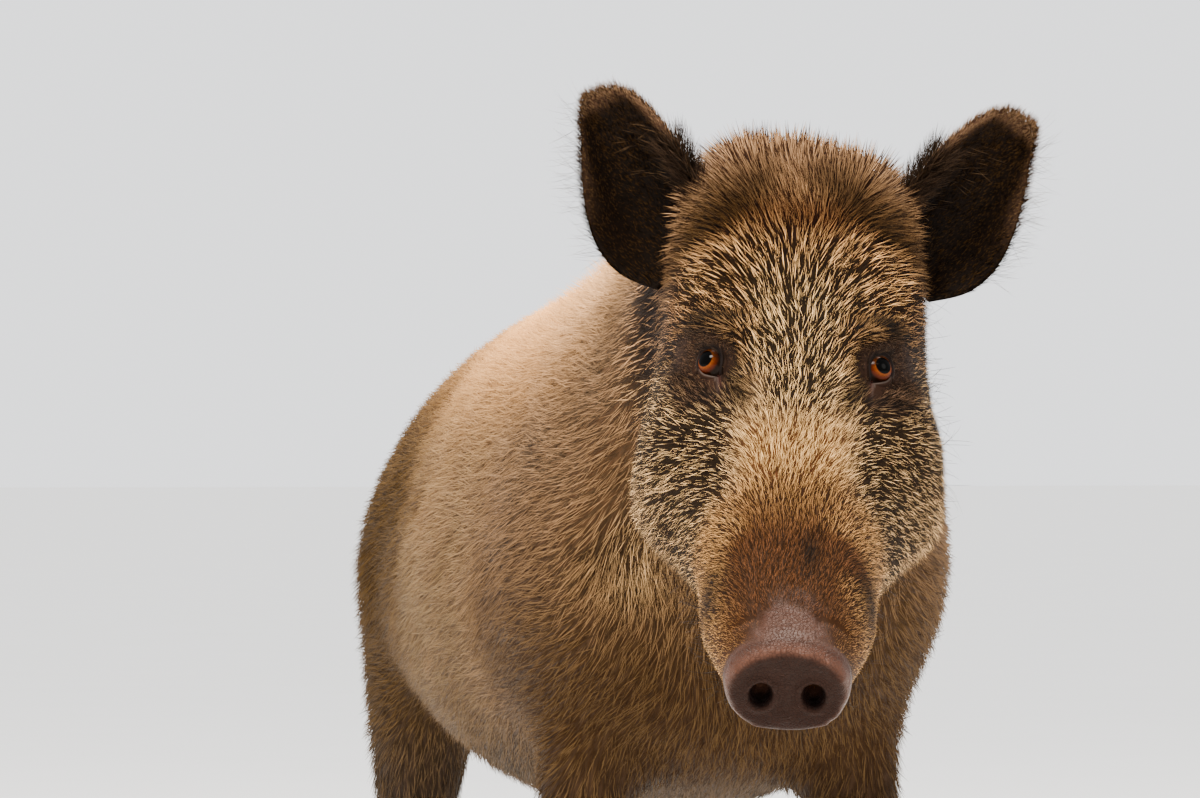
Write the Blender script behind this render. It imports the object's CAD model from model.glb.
# %% [markdown]
# # A wild boar sow, life size
#
# This lesson dresses a block model of a wild boar. The blocks, which Blender loads below, are
# the solid parts of the animal out to the tips of her coat: head, snout, neck, legs and so on.
# She is finished here in the way that a museum builds a mount: one unbroken skin a little
# inside the blocks, eyes and hooves set into it, and then the coat, lock by lock.
#
# Lengths are in metres, because that is what the blocks are in. Where a face is easier to
# think about in millimetres, a name or a comment says so.

# %% Load the blocks
import math

import bmesh
import bpy
import numpy as np
from mathutils import Matrix, Vector


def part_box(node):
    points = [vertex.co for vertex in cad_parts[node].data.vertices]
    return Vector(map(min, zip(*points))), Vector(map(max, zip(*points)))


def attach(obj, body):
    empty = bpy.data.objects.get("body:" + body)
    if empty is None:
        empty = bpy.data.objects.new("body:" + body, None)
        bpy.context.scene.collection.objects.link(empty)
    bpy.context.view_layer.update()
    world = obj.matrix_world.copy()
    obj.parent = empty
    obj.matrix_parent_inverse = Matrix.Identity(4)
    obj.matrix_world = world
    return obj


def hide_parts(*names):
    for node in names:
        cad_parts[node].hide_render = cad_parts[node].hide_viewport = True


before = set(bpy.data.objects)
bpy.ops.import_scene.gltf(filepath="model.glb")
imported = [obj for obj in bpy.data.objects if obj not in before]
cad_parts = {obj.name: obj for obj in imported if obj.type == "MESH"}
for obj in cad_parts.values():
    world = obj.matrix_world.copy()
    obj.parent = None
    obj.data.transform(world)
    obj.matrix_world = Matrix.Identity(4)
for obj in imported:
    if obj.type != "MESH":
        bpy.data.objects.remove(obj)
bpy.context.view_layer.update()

MM = 0.001

# %% [markdown]
# ## Directions of the head
#
# A head is easiest to model in its own directions. Hers is turned to her right, pitched down
# and rolled a little, so this step makes five unit vectors from those three angles. The two
# eye blocks say where the head is. `LEFT`, `AHEAD` and `UP` stay level with the ground apart
# from the roll. `ALONG` and `ABOVE` follow the line of the mouth.

# %% The head's own frame
HEAD_YAW = math.radians(11)  # to her right
HEAD_PITCH = math.radians(35)  # how far the mouth line points down
HEAD_ROLL = math.radians(2.3)  # left side down
EYE_DROP = 3 * MM  # the eyeballs' centres lie below the middle of their openings

AHEAD = np.array([-math.sin(HEAD_YAW), -math.cos(HEAD_YAW), 0.0])
LEVEL_LEFT = np.array([math.cos(HEAD_YAW), -math.sin(HEAD_YAW), 0.0])
LEFT = LEVEL_LEFT * math.cos(HEAD_ROLL) - np.array([0, 0, math.sin(HEAD_ROLL)])
UP = np.cross(AHEAD, LEFT)
UP = UP if UP[2] > 0 else -UP
ALONG = AHEAD * math.cos(HEAD_PITCH) - UP * math.sin(HEAD_PITCH)
ABOVE = AHEAD * math.sin(HEAD_PITCH) + UP * math.cos(HEAD_PITCH)


def centre(node):
    low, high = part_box(node)
    return np.array((low + high) / 2)


EYES = {1: centre("eye_left"), -1: centre("eye_right")}
EYE_POINT = (EYES[1] + EYES[-1]) / 2 + UP * EYE_DROP
EYE_SIDE = np.linalg.norm(EYES[1] - EYES[-1]) / 2


def in_head(points):
    """Places told in millimetres from between the eyes: to her left, ahead, up, along the mouth
    line and above it."""
    from_eyes = (points - EYE_POINT) / MM
    return [from_eyes @ axis for axis in (LEFT, AHEAD, UP, ALONG, ABOVE)]


def off_from(start, side, place):
    """What lies so many mm sideways, ahead and up from start. side is 1 on her left, else -1."""
    return start + MM * (side * place[0] * LEFT + place[1] * AHEAD + place[2] * UP)


print("eyes", round(2 * EYE_SIDE / MM), "mm apart, at", EYE_POINT.round(3), "m")

# %% [markdown]
# ## Small tools for arrays
#
# Blender's meshes can be read and written as whole arrays with `foreach_get` and
# `foreach_set`, which is hundreds of times faster than a loop over vertices. The tools here
# blend between values, make soft bumps, and make a wandering noise that is the same each run.

# %% Blends, bumps and noise


def unit(vectors):
    return vectors / np.maximum(np.linalg.norm(vectors, axis=-1, keepdims=True), 1e-12)


def smooth(start, end, value):
    """0 before start, 1 after end, and a soft S between them. start may be the larger."""
    share = np.clip((value - start) / (end - start), 0, 1)
    return share * share * (3 - 2 * share)


def bump(*offsets_and_reaches):
    """A soft hill, 1 at its middle, from pairs of offset and reach."""
    return np.exp(-sum((offset / reach) ** 2 for offset, reach in offsets_and_reaches))


def wander(points, size, seed, waves=7):
    """A smooth noise of about -1 to 1, from plane waves that cross at many angles."""
    draw = np.random.default_rng(seed)
    headings = unit(draw.normal(size=(waves, 3))) * draw.uniform(0.7, 1.4, (waves, 1))
    phases = draw.uniform(0, 2 * math.pi, waves)
    return np.sin(points @ headings.T * (2 * math.pi / size) + phases).sum(1) / math.sqrt(waves)


def through(rows, at):
    """A smooth curve through rows of numbers. The first of each row says where the row lies."""
    keys, rows = np.array(rows, float)[:, 0], np.array(rows, float)[:, 1:]
    slopes = np.gradient(rows, keys, axis=0)
    i = np.clip(np.searchsorted(keys, at) - 1, 0, len(keys) - 2)
    gap = (keys[i + 1] - keys[i])[..., None]
    t = (at - keys[i])[..., None] / gap
    return ((2 * t**3 - 3 * t**2 + 1) * rows[i] + (t**3 - 2 * t**2 + t) * gap * slopes[i]
            + (3 * t**2 - 2 * t**3) * rows[i + 1] + (t**3 - t**2) * gap * slopes[i + 1])


# %% Meshes from arrays


def mesh_of(name, points, faces, smooth_shaded=True):
    """A mesh from an array of points and one or more arrays of faces, each of one size."""
    groups = [np.asarray(f, np.int32) for f in (faces if isinstance(faces, list) else [faces])]
    mesh = bpy.data.meshes.new(name)
    mesh.vertices.add(len(points))
    mesh.vertices.foreach_set("co", np.asarray(points, np.float32).ravel())
    sizes = np.concatenate([np.full(len(g), g.shape[1], np.int32) for g in groups])
    corners = np.concatenate([g.ravel() for g in groups])
    mesh.loops.add(len(corners))
    mesh.loops.foreach_set("vertex_index", corners)
    mesh.polygons.add(len(sizes))
    mesh.polygons.foreach_set("loop_start", np.concatenate([[0], np.cumsum(sizes)[:-1]]))
    mesh.update(calc_edges=True)
    mesh.shade_smooth() if smooth_shaded else mesh.shade_flat()
    return mesh


def placed(data):
    """Puts a mesh, a light or a camera into the scene."""
    made = bpy.data.objects.new(data.name, data)
    bpy.context.scene.collection.objects.link(made)
    return made


def read(items, name, width, kind=np.float32):
    """One value of every item of a mesh, a row to an item."""
    flat = np.empty(len(items) * width, kind)
    items.foreach_get(name, flat)
    return flat.reshape(-1, width)


def points_of(mesh):
    return read(mesh.vertices, "co", 3).astype(float)


def normals_of(mesh):
    return read(mesh.vertices, "normal", 3).astype(float)


def move(mesh, points):
    """Puts the points of a mesh at new places."""
    mesh.vertices.foreach_set("co", points.astype(np.float32).ravel())
    mesh.update()


def from_work(work, name):
    """A mesh from a bmesh, Blender's form for editing, which is given up."""
    mesh = bpy.data.meshes.new(name)
    work.to_mesh(mesh)
    work.free()
    return mesh


def give(mesh, name, values):
    """Stores one value to a vertex: a number, or a colour of three numbers."""
    values = np.asarray(values, np.float32)
    if values.ndim == 1:
        mesh.attributes.new(name, "FLOAT", "POINT").data.foreach_set("value", values)
        return
    colours = np.ones((len(values), 4), np.float32)
    colours[:, :3] = values
    mesh.attributes.new(name, "FLOAT_COLOR", "POINT").data.foreach_set("color", colours.ravel())

# %% Faces for rings of points


def full_turn(count):
    """The angles of so many equal steps round."""
    return np.arange(count) * 2 * math.pi / count


def tube_faces(rows, around):
    """Squares between rows of points that each run once round."""
    row, column = np.meshgrid(np.arange(rows - 1), np.arange(around), indexing="ij")
    a, b = row * around + column, row * around + (column + 1) % around
    return np.stack([a, b, b + around, a + around], -1).reshape(-1, 4)


def fan(tip, first, around, backwards=False):
    """Triangles from a tip to the ring of points that starts at first."""
    ring, after = first + np.arange(around), first + (np.arange(around) + 1) % around
    pair = (after, ring) if backwards else (ring, after)
    return np.stack([np.full(around, tip), *pair], -1)

# %% [markdown]
# ## One skin
#
# The blocks meet in flat cuts, and an animal's skin has none. A voxel remesh turns copies of
# them into one closed surface: it fills a grid with what is inside and wraps the result in
# even squares. The copies are swollen by half a millimetre first, so that the thin gaps
# between blocks close. The eyes go in with them, so that their sockets don't become pits.

# %% Wrap the flesh blocks in one surface
VOXEL = 6 * MM
SWELLING = 0.5 * MM
SEPARATE = ("hoof_", "dewclaw_", "ear_")
PAD_RADIUS = 13.5 * MM  # of the flesh that carries a dew claw


def swollen_copies():
    """The flesh blocks and the eyes as one mesh, each pushed out a little."""
    joined = bmesh.new()
    for name in sorted(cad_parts):
        if name.startswith(SEPARATE):
            continue
        block = bmesh.new()
        block.from_mesh(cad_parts[name].data)
        bmesh.ops.remove_doubles(block, verts=block.verts, dist=0.01 * MM)
        block.normal_update()
        for vertex in block.verts:
            vertex.co += vertex.normal * SWELLING
        joined.from_mesh(from_work(block, "copy"))
    for name in sorted(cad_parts):
        if name.startswith("dewclaw_"):
            low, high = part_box(name)
            pad = ((low.x + high.x) / 2, low.y + 3 * MM, high.z - 6 * MM)
            bmesh.ops.create_icosphere(joined, subdivisions=3, radius=PAD_RADIUS,
                                       matrix=Matrix.Translation(pad))
    return from_work(joined, "flesh")


def remeshed(mesh, voxel):
    body = placed(mesh)
    wrap = body.modifiers.new("wrap", "REMESH")
    wrap.mode = "VOXEL"
    wrap.voxel_size = voxel
    graph = bpy.context.evaluated_depsgraph_get()
    made = bpy.data.meshes.new_from_object(body.evaluated_get(graph))
    bpy.data.objects.remove(body)
    return made


wrapped = remeshed(swollen_copies(), VOXEL)
print("wrapped flesh:", len(wrapped.vertices), "points", len(wrapped.polygons), "faces")

# %% [markdown]
# ## Smooth it
#
# The blocks are made of flat facets, and their edges would show under the coat as ridges.
# Each pass here moves a point part of the way to the middle of its neighbours. A broad back
# takes many passes, but a leg would waste away, so every region has its own share of them.

# %% Where a point is on the body
THROAT_LINE = (-290, -235)  # mm above the mouth line: what is lower isn't head
NAPE_LINE = (-135, -70)  # mm along it: what is further back isn't head


def headness(points):
    """1 on the head, 0 on the body, and a soft change over the neck."""
    _, _, _, along, above = in_head(points)
    return smooth(*NAPE_LINE, along) * smooth(*THROAT_LINE, above)


def legness(points):
    """1 on the legs and feet, and 0 where they are part of the trunk."""
    return smooth(0.40, 0.29, points[:, 2]) * smooth(0.02, 0.05, np.abs(points[:, 0]))


def tailness(points):
    low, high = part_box("tail")
    reach = (points[:, 1] > low.y - 4 * MM) & (np.abs(points[:, 0]) < 50 * MM)
    return reach * smooth(high.z + 0.03, high.z, points[:, 2])


def regions(points):
    """How much of each point is head, leg and tail. The rest of it is trunk."""
    return headness(points), legness(points), tailness(points)


# %% Smooth the skin


def relaxed(mesh, points, shares, passes):
    """Moves points towards their neighbours' middle, by a share of each point's own."""
    edges = read(mesh.edges, "vertices", 2, np.int32)
    start = np.concatenate([edges[:, 0], edges[:, 1]])
    end = np.concatenate([edges[:, 1], edges[:, 0]])
    count = np.bincount(start, minlength=len(points))
    step = (0.5 * shares / np.maximum(count, 1))[:, None]
    for _ in range(passes):
        gaps = (points[end] - points[start]).T
        points = points + step * np.stack([np.bincount(start, gap, len(points)) for gap in gaps], 1)
    return points


points = points_of(wrapped)
_, _, _, along, above = in_head(points)
head, leg, tail = regions(points)
share = np.interp(along, [-100, 0, 100, 235, 250], [0.6, 0.35, 0.25, 0.2, 0.16]) * head
share += (1 - head) * (1 - 0.8 * leg) * (1 - 0.85 * tail)
share *= smooth(-0.01, 0.09, points[:, 2]) * 0.9 + 0.1
points = relaxed(wrapped, points, share, 40)
points = relaxed(wrapped, points, (1 - head) * (1 - leg) * (1 - tail), 80)
move(wrapped, points)

# %% [markdown]
# ## Sink it by the coat's depth
#
# The blocks reach to the tips of the hair. The skin lies deeper, by as much as the coat is
# thick there: almost nothing on the nose, a few millimetres on the face and feet, and most
# along the mane.

# %% The depth of the coat
TRUNK_COAT, MANE_MORE, TAIL_COAT = 10, 7, 4.5  # mm
FEET_DROP = 5 * MM  # the feet's skin closes round the hooves


def maneness(points, normals):
    """1 along the top of neck and shoulders."""
    return smooth(0.35, 0.8, normals[:, 2]) * smooth(0.30, -0.05, points[:, 1])


def coat_depth(points, normals):
    """How far the skin lies inside the coat's outline, in metres."""
    _, _, _, along, _ = in_head(points)
    head, leg, tail = regions(points)
    on_face = np.interp(along, [-120, -60, 0, 60, 120, 200, 236, 243],
                        [14, 10, 7, 6, 4.5, 3, 1.5, 0])
    on_trunk = TRUNK_COAT + MANE_MORE * maneness(points, normals)
    on_leg = np.interp(points[:, 2], [0.04, 0.06, 0.2, 0.35], [2.0, 3.0, 4.5, 8.0])
    depth = on_trunk * (1 - leg) + on_leg * leg
    depth = depth * (1 - tail) + TAIL_COAT * tail
    return MM * (depth * (1 - head) + on_face * head)


normals = normals_of(wrapped)
depth = coat_depth(points, normals)
flat_sole = smooth(0.06, 0.045, points[:, 2])[:, None]
inward = normals * (1 - flat_sole) + unit(normals * [1, 1, 0]) * flat_sole
points = points - inward * depth[:, None]
points[:, 2] -= FEET_DROP * smooth(0.055, 0.04, points[:, 2])
move(wrapped, points)
print("skin lies", (depth.min() / MM).round(1), "to", (depth.max() / MM).round(1), "mm deep")

# %% [markdown]
# ## Finer squares where the form is finer
#
# Lids, nostrils and wrinkles are smaller than the squares of the wrap. Subdividing the whole
# skin would cost a million faces, so only the head is split once, and the rounds of the eyes
# and the nose a few times more.

# %% Split the squares of the head
FINE_FROM, FINE_ABOVE = -88, -240  # mm along and above the mouth line: the finer head
# mm from an eye's opening, and mm along from which the nose is split too
EYE_ZONES = ((38, 205), (30, math.inf), (23, math.inf))
OPENING = (5.8, 10, 2)  # mm from the eyeball's centre to its opening: side, ahead, up


def eye_distance(points):
    """Distance from the nearer eye's opening, in mm."""
    gaps = [np.linalg.norm(points - off_from(EYES[side], side, OPENING), axis=1)
            for side in (1, -1)]
    return np.minimum(*gaps) / MM


def split_where(mesh, chosen):
    """Splits each face in four whose middle is chosen, with clean joints to the rest."""
    wanted = chosen(read(mesh.polygons, "center", 3).astype(float))
    work = bmesh.new()
    work.from_mesh(mesh)
    work.faces.ensure_lookup_table()
    edges = {edge for index in np.flatnonzero(wanted) for edge in work.faces[index].edges}
    bmesh.ops.subdivide_edges(work, edges=list(edges), cuts=1, use_grid_fill=True)
    work.to_mesh(mesh)
    work.free()


split_where(wrapped, lambda p: (in_head(p)[3] > FINE_FROM) & (in_head(p)[4] > FINE_ABOVE))
for zone, nose_from in EYE_ZONES:
    split_where(wrapped, lambda p: (eye_distance(p) < zone) | (in_head(p)[3] > nose_from))
points = points_of(wrapped)
near_eye = smooth(36, 26, eye_distance(points))
points = relaxed(wrapped, points, headness(points) * (0.5 + 0.5 * near_eye), 12)
move(wrapped, points)
print("skin:", len(wrapped.vertices), "points", len(wrapped.polygons), "faces")

# %% [markdown]
# ## Sculpt the face
#
# A sculptor pushes and pulls the skin where bone and muscle show. In code, each push is a
# soft hill or groove with a place, a reach and a height, and it moves points along their
# normals. The same push is made on both sides, because it is measured from her middle line.

# %% Brow, cheek and muzzle
FACE_PUSHES = [
    # left, ahead, up of the middle, then the reach each way, then the height, all in mm
    ((48, -8, 21), (22, 30, 7), 5.5),  # brow ridge over the eye
    ((58, 0, 27), (16, 30, 5), 1.6),
    ((34, 6, 8), (8, 30, 14), 1.5),  # rim between eye and bridge
    ((62, 0, -23), (17, 30, 7), 3.2),  # bag below the eye
    ((31, 12, -27), (8, 30, 12), -5.5),  # hollow below the eye's inner corner
    ((38, 14, -17), (5, 30, 5), -2.0),
    ((74, -10, -6), (6, 30, 12), -1.6),  # crease behind the eye's outer corner
    ((0, 0, 30), (26, 60, 40), 1.0),
    ((72, -20, -48), (22, 45, 15), 4.5),  # cheekbone
    ((44, 60, -72), (14, 60, 22), -4.0),  # hollow between cheek and muzzle
]
# mm by which the crown is raised, so that it is broad and flat: at both corners, once more at
# the left one, which hangs lower, and in the middle
CROWN_CORNERS, CROWN_LEFT, CROWN_MIDDLE = 15, 8, 9
MUZZLE_PUSHES = [
    # left, along and above of the middle, then the reach each way, then the height, in mm
    ((34, 150, -40), (14, 60, 20), 2.5),  # the muscle that runs to the nose
    ((20, 218, -40), (4, 18, 14), -2.2),  # furrow beside the bare top of the nose
    ((46, 178, -95), (16, 26, 16), 3.5),  # lip over the tusk
    ((50, 120, -100), (14, 20, 14), -2.0),
    ((0, 205, -30), (3, 26, 12), -1.2),  # crease down the middle of the nose
    ((30, 232, -44), (12, 7, 12), 1.6),  # folds that run round behind the disc
    ((30, 221, -44), (14, 3, 14), -1.4),
]

# %% Push the skin
MOUTH_DROP = 114  # mm by which the slit of the mouth lies under the eyes' line


def mouth_line(along, above, side):
    """How far a point lies above the slit of the mouth, in mm, and how near it is to it."""
    off = above + MOUTH_DROP - 7 * smooth(140, 108, along)
    return off, smooth(100, 112, along) * smooth(216, 206, along) * smooth(10, 20, side)


def pushed(points, normals):
    left, ahead, up, along, above = in_head(points)
    side = np.abs(left)
    height = np.zeros(len(points))
    for pushes, at, where in ((FACE_PUSHES, (side, ahead, up), along < 150),
                              (MUZZLE_PUSHES, (side, along, above), 1)):
        for place, reach, rise in pushes:
            offsets = zip((a - middle for a, middle in zip(at, place)), reach)
            height += rise * bump(*offsets) * where
    off, near = mouth_line(along, above, side)
    height += near * (1.6 * bump((off - 6, 4)) - 3.6 * bump((off, 2.4)))  # lip and slit
    crown = CROWN_CORNERS * bump((side - 46, 25)) + CROWN_LEFT * bump((left - 58, 20))
    crown = crown + CROWN_MIDDLE * bump((side, 24))
    crown *= bump((ahead + 88, 45)) * smooth(60, 100, up)
    return points + MM * (normals * (height * headness(points))[:, None]
                          + np.multiply.outer(crown, UP))


points = pushed(points, normals_of(wrapped))
move(wrapped, points)

# %% [markdown]
# ## The nose disc
#
# A boar digs with her nose, a tough flat disc with a raised rim and two round nostrils. The
# disc faces along the mouth line, so its relief is a change of `along` alone.

# %% Nostrils and the rim of the nose
NOSE_FRONT = 258  # mm along from the eyes
NOSE_MIDDLE = -78
NOSE_SIZE = (40, 33)  # half width and half height
NOSTRIL_AT = (17, -80)
NOSTRIL_SIZE = (7.5, 9.5)
NOSTRIL_DEPTH = 15
DISC_SLOTS = 60  # parts of a turn in which the outline's real size is measured


def nose_rings(points):
    """How far a point is from the middle of the disc and of its nostril: 1 is at the edge."""
    left, _, _, _, above = in_head(points)
    ring = np.hypot(left / NOSE_SIZE[0], (above - NOSE_MIDDLE) / NOSE_SIZE[1])
    hole = np.hypot((np.abs(left) - NOSTRIL_AT[0]) / NOSTRIL_SIZE[0],
                    (above - NOSTRIL_AT[1]) / NOSTRIL_SIZE[1])
    return ring, hole

# %% Shape the disc


def rounded_disc(points):
    """Replaces the facets of the disc's outline by a smooth curve of the same size."""
    left, _, _, along, above = in_head(points)
    turn = np.arctan2((above - NOSE_MIDDLE) / NOSE_SIZE[1], left / NOSE_SIZE[0])
    ring, _ = nose_rings(points)
    wall = (along > 244) & (along < 256) & (ring > 0.8)
    terms = np.stack([f(k * turn) for k in range(5) for f in (np.cos, np.sin)], 1)
    smooth_size = terms @ np.linalg.lstsq(terms[wall], ring[wall], rcond=None)[0]
    slot = np.floor((turn / (2 * math.pi) + 0.5) * DISC_SLOTS).astype(int) % DISC_SLOTS
    found = np.maximum(np.bincount(slot[wall], None, DISC_SLOTS), 1)
    sizes = np.bincount(slot[wall], ring[wall], DISC_SLOTS) / found
    middle = (np.arange(DISC_SLOTS) + 0.5) / DISC_SLOTS * 2 * math.pi - math.pi
    real_size = np.interp(turn, middle, sizes, period=2 * math.pi)
    grow = (smooth_size / real_size - 1) * smooth(236, 246, along) * headness(points)
    grow = np.clip(grow, -0.08, 0.08)
    return points + MM * (np.multiply.outer(grow * left, LEFT)
                          + np.multiply.outer(grow * (above - NOSE_MIDDLE), ABOVE))


def nose_relief(points):
    left, _, _, along, _ = in_head(points)
    ring, hole = nose_rings(points)
    front = smooth(NOSE_FRONT - 12, NOSE_FRONT - 5, along) * (ring < 1.2)
    relief = 1.9 * bump((ring - 0.93, 0.11)) - 2.2 * smooth(0.92, 0.3, ring)
    relief += 1.5 * bump((hole - 1.25, 0.25)) - NOSTRIL_DEPTH * smooth(1.05, 0.5, hole)
    relief += 1.2 * bump((left, 3.0)) * smooth(0.9, 0.5, ring)
    return points + np.multiply.outer(MM * relief * front, ALONG)


points = nose_relief(rounded_disc(points))
edge = smooth(0.72, 0.85, nose_rings(points)[0]) * smooth(238, 246, in_head(points)[3])
points = relaxed(wrapped, points, 0.9 * (edge * headness(points)), 20)

# %% [markdown]
# ## Lids
#
# An eye is a ball, and its lids are skin stretched over that ball with a slit in it. So
# each point of the skin near an eye is told on a map of the ball's front: how far it lies
# towards the nose and up from the slit's middle. Outside the slit the skin is set a lid's
# thickness over the ball, and inside it dives behind the ball's front. The slit has the shape
# of a drop: a round opening that runs out to a point at its lower inner corner.

# %% A map of the eyeball's front
BALL_RADIUS = 12.3  # mm
SLIT_SIDEWAYS = math.radians(35)  # the slit faces this far to the side of ahead
SLIT_UPWARDS = math.radians(10)
SLIT_RADIUS = 9.2  # mm over the ball
CORNER_ANGLE = math.radians(-52)
CORNER_FAR = 13.5  # mm from the slit's middle
CORNER_RADIUS = 0.5
# the way each eye looks: left, ahead and up
GAZE = {1: unit(np.array([0.52, 0.78, 0.34])), -1: unit(np.array([-0.67, 0.66, 0.33]))}


def outside_drop(along, across):
    """Distance outside a circle and a smaller one further along, and the drop round both."""
    narrowing = (SLIT_RADIUS - CORNER_RADIUS) / CORNER_FAR
    slope = math.sqrt(1 - narrowing**2)
    across = np.abs(across)
    place = slope * along - narrowing * across
    flank = narrowing * along + slope * across - SLIT_RADIUS
    tip = np.hypot(across, along - CORNER_FAR) - CORNER_RADIUS
    return np.where(place < 0, np.hypot(across, along) - SLIT_RADIUS,
                    np.where(place > slope * CORNER_FAR, tip, flank))


def slit_map(side, points):
    """Distance in mm outside the slit, place towards the nose and up, and angle on the map."""
    outward = unit(points - EYES[side])
    level = math.sin(SLIT_SIDEWAYS) * side * LEFT + math.cos(SLIT_SIDEWAYS) * AHEAD
    front = math.cos(SLIT_UPWARDS) * level + math.sin(SLIT_UPWARDS) * UP
    upward = unit(UP - front * (UP @ front))
    nosewards = -side * np.cross(upward, front)
    angle = np.arctan2(outward @ upward, outward @ nosewards)
    arc = BALL_RADIUS * np.arccos(np.clip(outward @ front, -1, 1))
    to_corner = angle - CORNER_ANGLE
    gap = outside_drop(arc * np.cos(to_corner), arc * np.sin(to_corner))
    return gap, arc * np.cos(angle), arc * np.sin(angle), angle


def from_ball(side, points):
    return np.linalg.norm(points - EYES[side], axis=1) / MM


# %% Wrap the lids round the eyeballs
LID = 2.0  # mm thick away from its edge
LID_EDGE = 0.5
UPPER_LID = 1.2  # mm more, because it hangs over
BALL_CLEARANCE = 0.9
LID_REACH = 34  # mm from the eyeball's centre to the end of what its lids shape
TEAR_NOSEWARDS, TEAR_DROP = 7.6, 9.6  # mm on the map from the slit's middle to the tear corner


def lidded(points):
    for side in (1, -1):
        gap, to_nose, rise, angle = slit_map(side, points)
        distance = from_ball(side, points)
        near = distance < LID_REACH
        lid = LID_EDGE + (LID - LID_EDGE) * (1 - np.exp(-np.maximum(gap, 0) / 1.2))
        lid += UPPER_LID * smooth(0, 1, gap) * smooth(0.2, 0.8, np.sin(angle))
        dive = np.clip(LID_EDGE + 1.7 * np.minimum(gap, 0), -6, LID_EDGE)
        from_tear = np.hypot(to_nose - TEAR_NOSEWARDS, rise + TEAR_DROP)
        dive = np.maximum(dive, LID_EDGE - 0.9 * from_tear)
        target = BALL_RADIUS + np.where(gap > 0, lid, dive)
        over = np.where(gap < 0, near, smooth(LID_REACH, 24, distance) * smooth(9, 2.5, gap))
        wanted = distance + (target - distance) * over
        covered = near & (gap > 0)
        wanted = np.where(covered, np.maximum(wanted, BALL_RADIUS + BALL_CLEARANCE), wanted)
        points = EYES[side] + (points - EYES[side]) * (wanted / distance)[:, None]
    return points


points = lidded(points)
move(wrapped, points)

# %% [markdown]
# ## Folds round the eye
#
# Lids open and close all day, and the skin keeps the lines of it: one just above the edge of
# the upper lid, a wide arch under the brow, bags under the eye and a crease from its outer
# corner. Each is a line on the same map. It is pressed in here and painted darker later.

# %% Press the folds in
OUTER_CORNER = (9, 5.8)  # mm on the map from the slit's middle, away from the nose and down
CREASE_WAY = (0.56, 0.83)  # the way its crease runs on from there: outwards and down
FOLD_DEPTH = 0.9  # mm


def lid_lines(side, points):
    """How strongly the creases round this eye run through each point, 0 to 1."""
    gap, to_nose, rise, angle = slit_map(side, points)
    over = smooth(-1.1, -0.6, angle) * smooth(2.9, 2.5, angle)
    under = smooth(-0.7, -1.0, angle) * smooth(-2.7, -2.3, angle)
    lid_edge = 1.7 + 2.4 * bump((angle - 1.75, 0.9))
    arch_edge = 7.6 + 2.0 * bump((angle - 1.4, 1.0))
    lines = over * (bump((gap - lid_edge, 0.55)) + 0.6 * bump((gap - arch_edge, 0.8)))
    lines += under * (0.6 * bump((gap - 3.2, 0.5)) + 0.5 * bump((gap - 5.8, 0.7)))
    across, upwards = to_nose + OUTER_CORNER[0], rise + OUTER_CORNER[1]
    run = -CREASE_WAY[0] * across - CREASE_WAY[1] * upwards
    off = CREASE_WAY[1] * across - CREASE_WAY[0] * upwards
    lines += bump((off, 0.8)) * smooth(-1, 1, run) * smooth(12, 7, run)
    fine = np.sin(2 * math.pi * gap / 1.7 + 1.5 * wander(points, 0.008, 12))
    lines += 0.22 * fine * smooth(1.5, 3, gap) * smooth(15, 9, gap)
    return np.clip(lines, 0, 1) * smooth(LID_REACH, 26, from_ball(side, points))


normals = normals_of(wrapped)
for side in (1, -1):
    pressed = FOLD_DEPTH * lid_lines(side, points)
    points = points - normals * (MM * pressed)[:, None]
move(wrapped, points)

# %% [markdown]
# ## Ears
#
# An ear is thinner than the squares of the wrap, so it is built on its own: a cupped leaf
# whose cross-section is a crescent. Rows of crescents run from inside the head out to the tip.
# The same function gives the place, the outward direction and the line to the tip at any point
# of the leaf, which the hairs need later.

# %% The shape of an ear
EAR_ROOTS = ((56, -68, 110), (100, -96, 54))  # crown's edge and cheek's: left, ahead, up in mm
EAR_TIPS = {1: (153, -58, 166), -1: (146, -60, 172)}
EAR_LENGTH = 111
EAR_LEAF = (
    # share of the length, then in mm: edge nearer the crown, edge nearer the cheek, depth of
    # the cup and thickness
    (-0.25, -23, 33, 20, 10), (0, -34, 54, 26, 8), (0.2, -38, 57, 27, 6.5),
    (0.42, -41, 49.5, 23, 5.5), (0.64, -41, 35, 16, 4.6), (0.82, -37, 20, 10, 4.2),
    (0.93, -29, 10, 5.5, 3.8), (0.98, -20, 3, 2.5, 3.0), (1, -11, -3, 1.5, 2.2),
)


def ear_point(side, share, turn, facing):
    """A point of the ear. share runs from root to tip, turn from -1 at the crown's edge to 1 at
    the cheek's, and facing is 1 in the cup and -1 on the back."""
    root_in, root_out = (off_from(EYE_POINT, side, place) for place in EAR_ROOTS)
    root = (root_in + root_out) / 2
    lean = unit(off_from(EYE_POINT, side, EAR_TIPS[side]) - root)
    across = root_out - root_in
    across = unit(across - lean * (across @ lean))
    front = unit(np.cross(across, lean) * side)
    inner, outer, cup, thick = np.moveaxis(through(EAR_LEAF, share), -1, 0)
    sideways = np.where(turn < 0, -turn * inner, turn * outer) * (1 - 0.12 * turn**2)
    wall = facing * 0.5 * thick * np.sqrt(np.maximum(0, 1 - turn**6))
    ribs = 1.1 * np.sin(9 * turn + 2 * share) * smooth(1, 0.6, np.abs(turn))
    ribs = ribs * smooth(0.95, 0.5, share)
    ribs = np.where(facing > 0, ribs, 0.3 * ribs)
    lift = cup * (turn**2 - 0.75) + wall + ribs
    return (root + MM * (np.multiply.outer(share * EAR_LENGTH, lean)
                         + np.multiply.outer(sideways, across)
                         + np.multiply.outer(lift, front))), lean, across, front

# %% The mesh of an ear
EAR_ROWS, EAR_COLUMNS = 44, 30


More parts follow.
